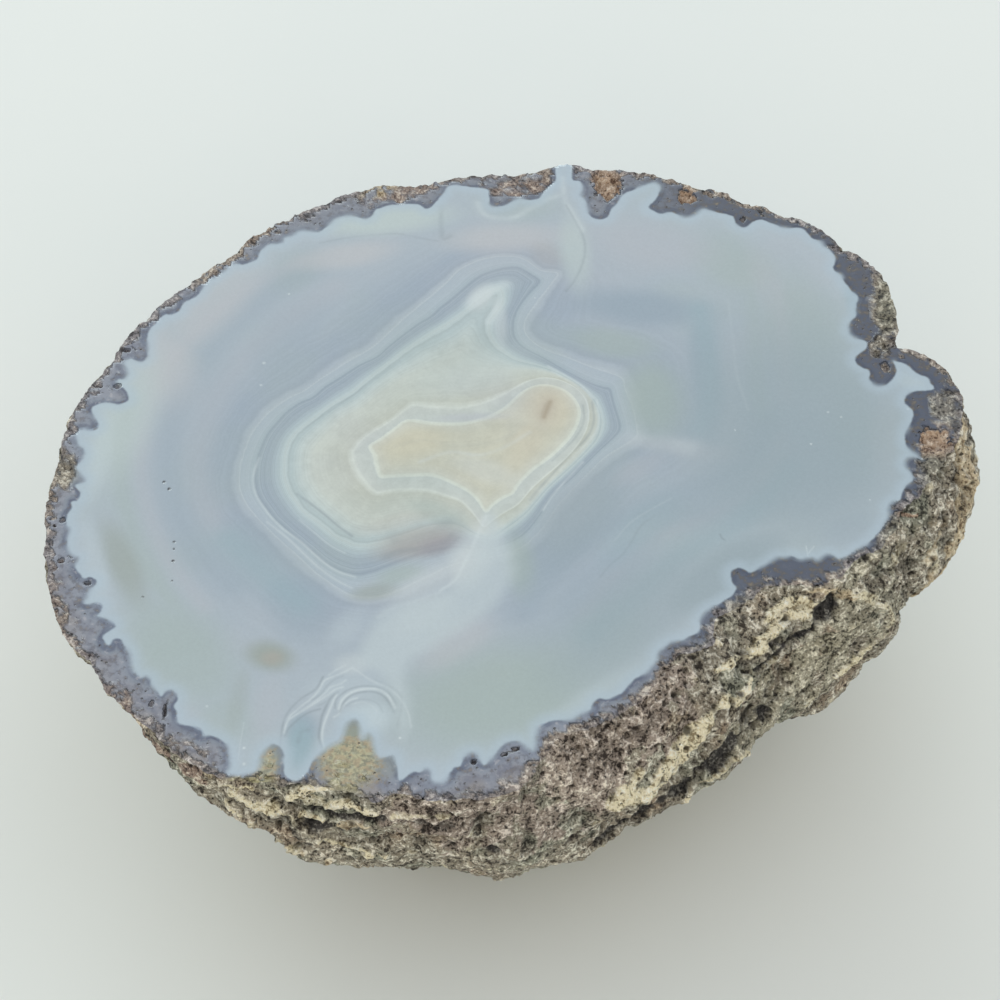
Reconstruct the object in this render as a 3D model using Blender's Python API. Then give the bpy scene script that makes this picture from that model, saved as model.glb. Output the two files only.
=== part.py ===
"""A sawn and polished agate half: a nodule with a rough rind, cut flat and polished across its middle.

The nodule is laid out as a closed form round the middle of the cut, and then sawn twice: once across the
agate, and once low down, where it is ground to the small flat spot that it rests on. Metres, +Z up. The
origin is the middle of the footprint, at the surface that the stone stands on.
"""

import math

import bmesh
import bpy
from mathutils import Vector, noise
from mathutils.geometry import intersect_point_line

MM = 0.001

# Driving dimensions, in millimetres
FACE_HEIGHT = 46.0  # the polished face above the surface that the stone rests on
BELLY_DEPTH = 48.0  # how deep the nodule would reach below the face if its foot weren't ground flat

# The grid that carries the form: a cube's faces, blown up to a sphere
GRID = 40  # cells along each edge of the cube, an even number so that a row lies on the cut

# The camera of the photograph, which turns the traced outline into real places on the face
VIEW_DISTANCE = 430.0
VIEW_ELEVATION = math.radians(50.0)
PIXELS_PER_MM = 7.75  # at the view distance
PICTURE_MIDDLE = (500.0, 500.0)
AIM = Vector((-2.7, 1.5, 36.0))  # the point that shows at the picture's middle, in millimetres

# The middle of the cut, and the polished face's cut edge traced clockwise, in the photograph's pixels
CUT_MIDDLE = (500, 470)
CUT_EDGE = [
    (568, 164), (592, 170), (608, 169), (682, 180), (692, 188), (726, 192), (744, 203), (758, 204),
    (792, 219), (804, 219), (830, 237), (842, 252), (856, 255), (872, 264), (884, 277), (897, 308),
    (898, 345), (932, 358), (946, 369), (964, 400), (954, 448), (944, 463), (930, 473), (917, 503),
    (901, 509), (897, 524), (872, 554), (856, 558), (826, 583), (804, 586), (780, 581), (763, 585),
    (750, 598), (712, 616), (714, 645), (676, 656), (660, 668), (655, 682), (628, 709), (592, 729),
    (568, 730), (550, 740), (532, 780), (512, 792), (490, 796), (440, 800), (392, 790), (378, 802),
    (340, 792), (318, 780), (300, 780), (284, 788), (268, 781), (246, 777), (224, 779), (200, 768),
    (176, 753), (142, 720), (122, 705), (106, 690), (98, 672), (88, 659), (72, 648), (61, 630),
    (44, 553), (51, 482), (60, 464), (62, 446), (82, 396), (109, 368), (114, 353), (126, 338),
    (202, 274), (232, 257), (244, 243), (280, 221), (358, 191), (378, 185), (412, 186), (440, 180),
    (530, 173),
]

# How the side of the stone runs down from the cut edge, by bearing anticlockwise from +X: its fullness,
# where 2 is an oval and less is more pointed, and how far it swells out below the edge, in millimetres
SECTIONS = [
    (5, 2.1, 1.5), (15, 2.0, 2.0), (40, 2.0, 1.0), (90, 1.9, 0.0), (150, 1.7, 0.0), (190, 1.6, 0.0),
    (215, 1.6, -4.0), (232, 1.9, 0.0), (245, 2.1, -0.5), (258, 2.0, -0.5), (275, 2.1, 2.5), (290, 2.1, 4.0),
    (300, 2.2, 4.0), (314, 2.3, 6.5), (328, 2.3, 4.5), (340, 2.3, 5.0), (350, 2.2, 2.5), (357, 2.1, 1.0),
]

# Ridges (a height above zero) and hollows (below zero) along the side: height and half width in
# millimetres, and the path as bearings and dips below the face in degrees
LANDFORMS = [
    ("pale ledge", 2.4, 3.6, [
        (347, 24), (341, 11), (335, 5.5), (328, 6.5), (320, 7.5), (312, 10), (305, 12.5), (298, 15.5),
        (290, 17),
    ]),
    ("recess under the ledge", -2.6, 4.2, [
        (334, 13), (326, 13), (318, 15), (311, 18), (303, 20.5), (293, 24),
    ]),
    ("foot below the recess", 2.2, 4.0, [(338, 30), (326, 27), (315, 30), (302, 31), (291, 33)]),
    ("shoulder right of the notch", 4.5, 6.0, [(13, 9), (3, 9), (356, 11)]),
    ("valley below the notch", -3.5, 5.0, [(24, 1), (25, 20), (26, 45)]),
    ("hole at the end of the facet", -2.4, 2.6, [(351, 24), (350, 28)]),
    ("hollow between layers", -1.3, 1.8, [(241, 4), (245, 7), (249, 10), (257, 11.5)]),
]

SWELL_DIP = math.radians(22)  # how far below the face the swelling is greatest
NOTCH_DIP = math.radians(6)  # how far below the face the cut edge's small notches have evened out
FADE_DIP = math.radians(5)  # how far below the face the unevenness reaches its full height
EVEN_SPAN = range(-12, 13, 4)  # the bearings in degrees, either side, over which the notches are evened out

# Unevenness all over the rind, in millimetres: broad swells, knobs and a few pits
LUMP_SIZE = 26.0
LUMP_HEIGHT = 1.5
KNOB_SPACING = 9.0
KNOB_HEIGHT = 1.5
PIT_SPACING = 11.0
PIT_RADIUS = 4.4
PIT_DEPTH = 1.4
PIT_LOT = 0.35  # each place for a pit draws a number from -1 to 1, and holds one if it is above this
PIT_SHIFT = Vector((31.7, 5.3, 12.1))  # moves the pits off the knobs


def on_face(pixel):
    """The place on the polished face, in millimetres, that shows at a pixel of the photograph."""
    right = Vector((1, 0, 0))
    back = Vector((0, -math.cos(VIEW_ELEVATION), math.sin(VIEW_ELEVATION)))
    up = back.cross(right)
    eye = AIM + back * VIEW_DISTANCE
    focal = PIXELS_PER_MM * VIEW_DISTANCE
    across = (pixel[0] - PICTURE_MIDDLE[0]) / focal
    down = (pixel[1] - PICTURE_MIDDLE[1]) / focal
    ray = right * across - up * down - back
    return eye + ray * ((FACE_HEIGHT - eye.z) / ray.z)


MIDDLE = on_face(CUT_MIDDLE)


def polar_edge():
    """The cut edge as bearings, in radians, and reaches from the middle of the cut, in millimetres."""
    edge = []
    for pixel in CUT_EDGE:
        arm = on_face(pixel) - MIDDLE
        edge.append((math.atan2(arm.y, arm.x) % math.tau, arm.length))
    return sorted(edge)


EDGE = polar_edge()


def between(table, bearing, gently=False):
    """The values of a table whose rows start with a bearing, read at a bearing between two rows."""
    bearing %= math.tau
    after = next((i for i, row in enumerate(table) if row[0] > bearing), 0)
    first, second = table[after - 1], table[after]
    share = ((bearing - first[0]) % math.tau) / ((second[0] - first[0]) % math.tau)
    if gently:
        share = eased(share)
    return [a + (b - a) * share for a, b in zip(first[1:], second[1:])]


def eased(share):
    """A share from 0 to 1 that starts and ends gently."""
    share = min(1.0, share)
    return share * share * (3 - 2 * share)


def calm_edge(bearing):
    """The cut edge's reach with its small notches evened out, in millimetres."""
    reaches = [between(EDGE, bearing + math.radians(step))[0] for step in EVEN_SPAN]
    return sum(reaches) / len(reaches)


SECTION_TABLE = [(math.radians(bearing), fullness, swell) for bearing, fullness, swell in SECTIONS]


def smooth_reach(bearing, dip):
    """How far the stone's smooth form reaches from the middle of the cut, in millimetres."""
    fullness, swell = between(SECTION_TABLE, bearing, gently=True)
    calm = eased(abs(dip) / NOTCH_DIP)
    edge = calm_edge(bearing) * calm + between(EDGE, bearing)[0] * (1 - calm)
    level = abs(math.cos(dip)) / edge
    deep = abs(math.sin(dip)) / BELLY_DEPTH
    oval = (level**fullness + deep**fullness) ** (-1 / fullness)
    steps = abs(dip) / SWELL_DIP
    return oval + swell * steps * math.exp(1 - steps)


def on_form(bearing, dip):
    """The place on the smooth form at a bearing and dip, in millimetres from the middle of the cut."""
    out = Vector((math.cos(bearing) * math.cos(dip), math.sin(bearing) * math.cos(dip), -math.sin(dip)))
    return out * smooth_reach(bearing, dip)


PATHS = [
    (height, width, [on_form(math.radians(bearing), math.radians(dip)) for bearing, dip in path])
    for name, height, width, path in LANDFORMS
]


def from_path(place, path):
    """The distance from a place to a path of straight stretches, in millimetres."""
    nearest = math.inf
    for start, end in zip(path, path[1:]):
        point, share = intersect_point_line(place, start, end)
        share = max(0.0, min(1.0, share))
        nearest = min(nearest, (place - start.lerp(end, share)).length)
    return nearest


def landforms(place):
    """The height of the named ridges and hollows at a place on the smooth form, in millimetres."""
    return sum(height * math.exp(-((from_path(place, path) / width) ** 2)) for height, width, path in PATHS)


def lumps(place):
    """Natural unevenness at a place on the smooth form, in millimetres outwards."""
    broad = noise.fractal(place / LUMP_SIZE, 0.8, 2.0, 3) * LUMP_HEIGHT
    knob = max(0.0, 1 - 2 * noise.voronoi(place / KNOB_SPACING)[0][0]) * KNOB_HEIGHT
    distances, centres = noise.voronoi(place / PIT_SPACING + PIT_SHIFT)
    holds_pit = noise.cell(centres[0] * 7) > PIT_LOT
    pit = max(0.0, 1 - (distances[0] * PIT_SPACING / PIT_RADIUS) ** 2) * PIT_DEPTH * holds_pit
    return broad + knob - pit


def surface(direction):
    """The place on the stone's surface in a direction from the middle of the cut."""
    bearing = math.atan2(direction.y, direction.x) % math.tau
    dip = math.asin(max(-1.0, min(1.0, -direction.z)))
    place = direction * smooth_reach(bearing, dip)
    fade = min(1.0, abs(dip) / FADE_DIP)
    return MIDDLE + place + direction * fade * (landforms(place) + lumps(place))


def nodule():
    """The whole nodule before it is sawn: a cube's grid, blown up to a sphere and drawn to the surface."""
    stone = bmesh.new()
    bmesh.ops.create_cube(stone, size=2)
    bmesh.ops.subdivide_edges(stone, edges=stone.edges[:], cuts=GRID - 1, use_grid_fill=True)
    for vert in stone.verts:
        evened = Vector([math.tan(side * math.pi / 4) for side in vert.co])  # near-equal cells on the sphere
        vert.co = surface(evened.normalized()) * MM
    return stone


def saw(stone, height, keep_below):
    """Cuts the stone level at a height in millimetres, takes one side away and closes the cut flat."""
    taken = Vector((0, 0, 1 if keep_below else -1))
    cut = bmesh.ops.bisect_plane(
        stone, geom=stone.verts[:] + stone.edges[:] + stone.faces[:], dist=1e-5,
        plane_co=(0, 0, height * MM), plane_no=taken, clear_outer=True,
    )
    rim = [item for item in cut["geom_cut"] if isinstance(item, bmesh.types.BMEdge)]
    bmesh.ops.contextual_create(stone, geom=rim)


def agate_material():
    """Blue-grey agate, as the polished face shows."""
    material = bpy.data.materials.new("blue_grey_agate")
    material.use_nodes = True
    shader = material.node_tree.nodes["Principled BSDF"]
    shader.inputs["Base Color"].default_value = (0.36, 0.42, 0.46, 1)
    shader.inputs["Roughness"].default_value = 0.3
    shader.inputs["Metallic"].default_value = 0.0
    return material


def agate_half():
    """The sawn stone as one object, smooth over its rind and sharp along the cuts."""
    stone = nodule()
    saw(stone, FACE_HEIGHT, keep_below=True)
    saw(stone, 0.0, keep_below=False)
    bmesh.ops.triangulate(stone, faces=[face for face in stone.faces if len(face.verts) == 4])
    bmesh.ops.recalc_face_normals(stone, faces=stone.faces[:])
    mesh = bpy.data.meshes.new("agate_half")
    stone.to_mesh(mesh)
    stone.free()
    mesh.shade_smooth()
    mesh.set_sharp_from_angle(angle=math.radians(45))
    mesh.materials.append(agate_material())
    return bpy.data.objects.new("agate_half", mesh)


def main():
    for thing in list(bpy.data.objects):
        bpy.data.objects.remove(thing, do_unlink=True)
    geode = bpy.data.collections.new("agate_geode")
    bpy.context.scene.collection.children.link(geode)
    geode.objects.link(agate_half())


main()
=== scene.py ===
"""The looks of a sawn and polished agate half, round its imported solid.

Lengths are in millimetres until a mesh is made of them, which is in metres. Most places are given as pixels
of the photograph, cast from its camera onto the polished face or onto the rind. Others are a bearing and a
dip in degrees: anticlockwise from +X round the middle of the cut, and down from the face.
"""

import math

import bpy
import numpy as np
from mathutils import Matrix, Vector, noise
from mathutils.bvhtree import BVHTree
from mathutils.geometry import delaunay_2d_cdt
from mathutils.kdtree import KDTree


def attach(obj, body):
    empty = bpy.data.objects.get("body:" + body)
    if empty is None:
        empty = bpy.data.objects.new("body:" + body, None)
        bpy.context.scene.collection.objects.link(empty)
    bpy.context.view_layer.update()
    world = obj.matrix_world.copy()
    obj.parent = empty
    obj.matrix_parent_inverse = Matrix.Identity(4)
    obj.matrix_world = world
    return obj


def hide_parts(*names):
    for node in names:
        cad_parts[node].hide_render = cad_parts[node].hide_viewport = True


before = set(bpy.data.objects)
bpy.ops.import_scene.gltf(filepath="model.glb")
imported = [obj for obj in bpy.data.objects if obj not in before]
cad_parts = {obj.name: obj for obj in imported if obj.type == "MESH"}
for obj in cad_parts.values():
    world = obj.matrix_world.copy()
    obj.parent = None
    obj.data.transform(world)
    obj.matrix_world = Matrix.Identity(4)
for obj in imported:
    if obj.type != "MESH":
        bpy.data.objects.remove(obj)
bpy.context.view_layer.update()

MM = 0.001
FACE_HEIGHT = 46.0

# The camera of the photograph
VIEW_DISTANCE = 430.0
VIEW_ELEVATION = math.radians(50.0)
PIXELS_PER_MM = 7.75  # at the view distance
PICTURE_SIZE = 1000
PICTURE_MIDDLE = (500.0, 500.0)
SENSOR = 36.0
AIM = Vector((-2.7, 1.5, 36.0))  # the point that shows at the picture's middle
CUT_MIDDLE = (500, 470)

RIGHT = Vector((1, 0, 0))
BACK = Vector((0, -math.cos(VIEW_ELEVATION), math.sin(VIEW_ELEVATION)))
UP = BACK.cross(RIGHT)
EYE = AIM + BACK * VIEW_DISTANCE
FOCAL = PIXELS_PER_MM * VIEW_DISTANCE  # in pixels

# The least size of a divisor: a length, a normal, and a rise
TINY = 1e-6
LEAST_NORMAL = 1e-9
LEAST_RISE = 1e-12

# For the face's triangles: keep those inside the edge, and take places closer than this as one
INSIDE_ONLY = 1
SAME_PLACE = 1e-5


def traced(text):
    """The pixels of a line, from a text of x,y pairs."""
    return [tuple(map(int, pair.split(","))) for pair in text.split()]


# The lobed inner side of the dark rim, traced in the photograph's pixels
RIM = traced("""
    184,303 180,311 172,315 165,315 160,319 156,324 152,327 148,333 148,343 148,352 147,358 142,362
    136,361 130,359 124,363 128,370 128,375 124,379 118,380 119,386 124,388 128,394 129,400 124,403
    118,405 110,403 103,403 96,405 92,408 93,414 96,419 99,424 98,428 93,431 88,431 83,430 78,432 76,436
    79,445 83,448 85,453 84,457 82,461 77,466 78,471 83,476 85,480 82,483 75,486 80,492 80,497 77,501
    71,502 72,508 68,515 67,525 70,530 67,545 72,555 78,557 78,562 75,567 80,573 84,578 90,577 96,580
    96,585 90,590 88,597 84,603 92,603 99,602 103,606 101,612 97,616 105,618 113,622 116,626 110,631
    104,635 103,639 108,645 112,640 117,638 122,640 125,646 130,652 132,660 133,668 140,677 146,676
    151,680 152,686 158,692 161,696 165,692 171,690 177,694 178,700 174,706 177,712 178,722 185,725
    195,726 203,730 203,736 210,735 218,738 224,742 229,748 231,765 228,773 240,775 252,773 258,768
    260,757 265,750 272,744 280,747 285,755 284,762 286,776 298,780 308,770 312,762 322,752 330,745
    340,740 345,727 350,721 357,720 361,728 362,738 370,733 374,745 378,757 385,757 393,755 397,765
    398,775 400,781 408,775 414,771 420,772 426,768 431,772 432,780 438,782 445,780 453,768 460,766
    463,757 470,752 478,754 484,765 492,757 500,748 508,742 520,742 533,750 536,735 538,727 546,722
    555,720 566,720 575,718 582,713 590,710 593,703 600,698 606,699 614,697 622,692 628,686 634,680
    640,676 648,671 652,666 657,660 658,653 663,648 670,643 676,641 683,640 690,636 697,633 700,628
    700,620 705,612 715,606 725,600 733,594 736,588 733,584 731,578 731,572 736,568 742,568 747,571
    750,573 757,569 765,565 772,560 778,557 786,557 793,556 800,559 812,558 817,560 822,557 828,554
    834,556 838,559 845,557 852,553 860,548 870,542 878,533 885,524 889,515 888,508 892,502 900,500
    902,494 906,486 913,478 905,465 908,458 915,457 922,459 915,454 909,449 905,443 905,435 908,428
    912,420 913,412 908,406 904,402 905,397 909,393 915,391 930,390 934,388 930,383 928,378 920,375
    914,371 910,367 905,364 898,362 893,361 896,367 896,374 892,380 888,384 883,386 877,386 872,383
    869,379 870,374 868,370 863,368 858,365 855,361 856,356 861,352 866,348 866,342 858,339 853,337
    849,332 849,326 852,320 856,315 856,305 858,299 856,295 851,291 848,286 843,281 841,275 836,272
    833,268 835,262 835,256 830,250 824,246 820,241 813,239 808,234 803,229 795,228 785,228 778,226
    770,223 762,220 753,222 747,227 741,227 735,223 733,217 727,215 716,212 708,210 703,209 697,213
    690,217 683,217 676,214 670,212 662,214 655,212 648,207 655,200 659,192 660,186 655,183 648,184
    636,189 623,195 617,204 611,210 608,217 603,219 596,219 590,216 587,208 585,200 580,195 582,187
    580,181 572,179 571,158 556,158 556,178 553,183 548,187 543,193 538,199 528,200 520,199 513,201
    506,205 497,207 490,205 489,197 488,190 478,188 470,187 462,186 455,185 448,187 444,193 435,203
    430,208 425,209 421,206 412,204 400,205 390,205 382,208 376,210 372,216 365,219 357,217 348,216
    336,219 333,222 327,227 320,232 312,232 305,231 298,232 293,236 285,238 283,242 277,244 270,244
    264,248 260,252 257,259 247,264 240,265 235,264 228,268 222,273 215,278 208,281 200,293 190,300
""")

# The bands, from the outside in, each a closed loop in the photograph's pixels
BANDS = [
    # outer edge of the pale band
    traced("""
        489,258 504,256 521,258 533,265 542,271 558,273 552,282 542,295 533,307 526,318 524,330 533,342
        548,351 570,358 592,367 613,374 623,379 626,392 632,404 636,420 637,430 635,438 607,455 592,469
        577,484 563,499 555,509 545,524 539,531 520,548 490,557 470,560 450,566 425,578 400,590 378,597
        354,596 336,587 316,573 300,558 282,542 263,524 249,508 241,493 239,479 241,465 245,450 252,434
        262,420 275,408 290,398 304,391 321,379 352,360 375,346 390,332 405,318 420,305 435,293 447,282
        458,270 474,262
    """),
    # thin dark line
    traced("""
        504,268 518,267 526,271 540,280 536,287 527,296 521,304 517,311 514,321 514,333 518,342 527,349
        542,357 557,366 571,374 589,383 604,388 610,389 613,401 616,411 620,425 617,434 600,450 585,465
        570,480 555,492 545,505 540,515 522,536 495,547 470,548 455,547 440,549 420,554 400,561 385,567
        371,572 355,574 340,570 326,563 313,552 300,541 285,528 273,517 264,505 258,495 255,483 255,472
        257,460 260,450 267,435 280,419 289,410 301,402 313,397 326,386 341,377 360,365 377,357 388,347
        398,339 410,330 420,323 432,316 440,308 449,301 467,286 480,276 493,271
    """),
    # white line round the cream zone
    traced("""
        500,289 503,296 502,304 495,314 489,324 490,336 496,345 507,354 518,360 533,364 547,368 561,374
        577,383 590,394 599,408 602,424 597,440 582,457 563,475 548,489 536,503 525,515 508,528 490,538
        472,533 455,525 430,527 400,537 380,543 358,545 345,541 333,535 319,523 304,511 297,502 290,491
        286,478 285,462 287,448 293,436 306,425 325,410 335,403 353,392 362,384 378,371 391,361 406,350
        427,336 440,328 452,321 467,310 479,299 489,292
    """),
    # outer white line of the inner ring
    traced("""
        355,449 353,455 355,463 360,474 369,485 376,492 385,491 400,489 419,489 436,492 445,495 460,500
        470,509 477,518 484,527 492,520 503,513 518,504 530,490 543,478 556,467 568,456 578,444 586,430
        589,415 586,400 576,388 560,380 545,378 530,381 516,388 505,394 492,400 478,404 460,408 430,407
        415,405 408,408 396,418 380,428 366,437
    """),
    # inner white line of the inner ring
    traced("""
        369,446 380,439 392,430 407,420 430,423 459,424 480,420 493,415 506,407 515,398 523,391 534,386
        547,385 562,389 573,397 580,409 579,420 575,430 568,440 558,450 549,458 536,467 527,475 518,485
        513,493 504,497 492,505 486,512 478,500 468,491 455,484 442,478 430,475 418,475 400,476 382,477
        379,474 376,464 374,454
    """),
]

# The pale channel that runs from the inner ring down to the rim
CHANNEL = traced("""
    488,511 483,523 477,536 467,558 456,578 438,590 415,598 392,604 374,614 364,632 352,665 365,672
    380,680 392,700 398,740 410,735 412,705 408,682 414,664 440,648 470,628 498,606 514,585 518,560
    514,545 504,525
""")

# Lines drawn on the face: which colour, half width in millimetres, strength, and the path in pixels
STROKES = [
    # the fan of arcs above the lower rim
    ("white", 0.15, 0.8, "352,668 342,673 332,677 324,681 319,690 312,698 304,704 297,710 290,716 "
     "286,725 284,733"),
    ("dark", 0.15, 0.8, "323,677 316,689 305,696 296,703 287,714 283,724 281,737 280,746"),
    ("white", 0.15, 0.8, "343,687 336,689 329,694 323,698 315,703 304,710 294,716 287,722 284,733"),
    ("dark", 0.15, 0.7, "320,709 310,712 300,718 289,728 285,736"),
    ("dark", 0.17, 0.8, "335,694 330,699 326,707 322,716 320,727 319,737 322,747"),
    ("white", 0.17, 0.8, "336,695 332,704 327,716 323,727 322,738 324,749"),
    ("white", 0.20, 0.9, "339,709 341,702 346,696 355,691 365,689 376,689 385,693 391,700 395,708"),
    ("dark", 0.13, 0.6, "335,708 336,700 342,694 350,689 363,686 377,687 388,692 396,703"),
    ("dark", 0.15, 0.7, "340,712 344,702 352,695 363,692 374,692 382,695 388,701 394,712"),
    ("white", 0.15, 0.7, "334,717 339,714 343,706 350,700 357,698"),
    ("dark", 0.13, 0.35, "346,706 357,700 369,700 378,704 383,712"),
    ("white", 0.13, 0.4, "352,704 363,702 371,705 377,711"),
    ("white", 0.15, 0.45, "353,668 363,675 374,682 386,687 397,695 405,706 409,716 411,727"),
    ("dark", 0.15, 0.3, "376,680 388,685 399,693 402,701 400,714 397,725"),
    ("white", 0.15, 0.6, "346,665 336,670 329,675"),
    ("dark", 0.13, 0.5, "343,676 334,680 326,687 321,694 312,700"),
    ("white", 0.14, 0.7, "346,680 340,684 331,687 325,693 317,700 307,707 299,712"),
    ("dark", 0.13, 0.4, "338,692 327,701 318,706"),
    ("dark", 0.30, 0.5, "298,742 301,733 308,730"),
    # the curl at the foot of the cream zone
    ("dark", 0.50, 0.5, "385,557 400,551 420,549 440,545 452,535"),
    ("dark", 0.30, 0.5, "430,552 445,548 458,538"),
    ("dark", 0.90, 0.35, "395,540 415,536 435,530 448,522"),
    # the left side of the pale channel, and the fine lines beside it
    ("white", 0.26, 0.5, "486,516 480,530 472,548 463,566 455,580 440,591"),
    ("white", 0.35, 0.2, "440,592 418,600 396,607 378,617"),
    # fine lines right of the inner ring
    ("white", 0.16, 0.6, "548,366 565,375 582,386 593,398"),
    ("white", 0.14, 0.5, "552,371 567,380 580,390 587,402 588,420"),
    ("white", 0.14, 0.5, "597,400 599,420 594,435 577,453 560,470"),
    ("dark", 0.16, 0.6, "592,402 594,420 588,436 572,453 556,470 540,488"),
    ("dark", 0.14, 0.5, "583,405 584,420 578,434 566,448 552,461"),
    ("white", 0.16, 0.6, "583,462 568,478 553,495 543,510"),
    ("dark", 0.20, 0.5, "548,478 538,490 530,500"),
    # lines low on the left of the outer ring
    ("white", 0.18, 0.6, "259,458 254,472 253,483 256,495 262,505 271,517 283,529"),
    ("white", 0.18, 0.6, "283,529 301,542 313,553 326,564 339,572 355,577"),
    ("white", 0.16, 0.5, "267,522 286,537 303,553 318,567 336,580 352,588"),
    ("dark", 0.20, 0.7, "297,494 311,504 324,514 338,526 352,536"),
    ("white", 0.14, 0.4, "300,520 315,533 330,545 345,553"),
    ("dark", 0.14, 0.35, "303,429 316,420 330,411 350,397 375,379 400,361"),
    # the pale horn at the top of the cream zone
    ("white", 0.90, 0.6, "470,303 482,294 495,288 504,284"),
    ("white", 0.50, 0.5, "496,300 494,312 489,322"),
    # the thin arc at the upper left, and the grey line right of the upper channel
    ("dark", 0.18, 0.35, "320,243 340,239 360,236 385,234 400,234 420,238 438,241"),
    ("dark", 0.20, 0.5, "566,205 574,219 583,236 585,250 582,265 575,280 566,291"),
    ("dark", 0.40, 0.4, "441,206 441,222 443,238 450,236"),
    ("white", 0.50, 0.5, "478,203 483,213 495,218 515,217 530,209 545,200 560,195"),
    ("white", 0.45, 0.5, "562,178 565,200 573,214 582,230"),
    # faint arcs in the right of the field
    ("dark", 0.16, 0.35, "655,515 640,527 632,541 622,555 610,565 600,577"),
    ("white", 0.14, 0.2, "672,498 650,510 630,523 615,540"),
    ("white", 0.20, 0.10, "728,300 733,340 737,375 748,410"),
    ("white", 1.30, 0.28, "636,437 660,442 690,447"),
    # the brown streak in the core
    ("brown", 0.40, 0.6, "550,402 547,409 544,417"),
    ("brown", 0.20, 0.35, "546,404 542,413"),
    ("white", 0.30, 0.35, "420,462 450,452 480,455 505,447 530,432"),
    ("dark", 0.35, 0.12, "395,446 425,440 460,446 500,440 525,424"),
    # scratches in the polish
    ("dark", 0.10, 0.9, "720,534 722,538 725,540"),
    ("white", 0.07, 0.8, "806,546 808,556"),
    ("white", 0.07, 0.8, "814,546 809,553"),
    ("white", 0.06, 0.5, "244,722 240,745 238,760"),
    # cracks in the rim
    ("crack", 0.10, 1.0, "168,700 165,709 163,720"),
    ("crack", 0.12, 1.0, "503,756 508,752 512,752 519,747"),
    ("crack", 0.10, 1.0, "132,347 136,350"),
    ("crack", 0.12, 1.0, "472,760 476,762"),
    ("crack", 0.10, 0.9, "84,583 90,582"),
    ("crack", 0.10, 0.9, "68,556 72,558"),
]

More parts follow.
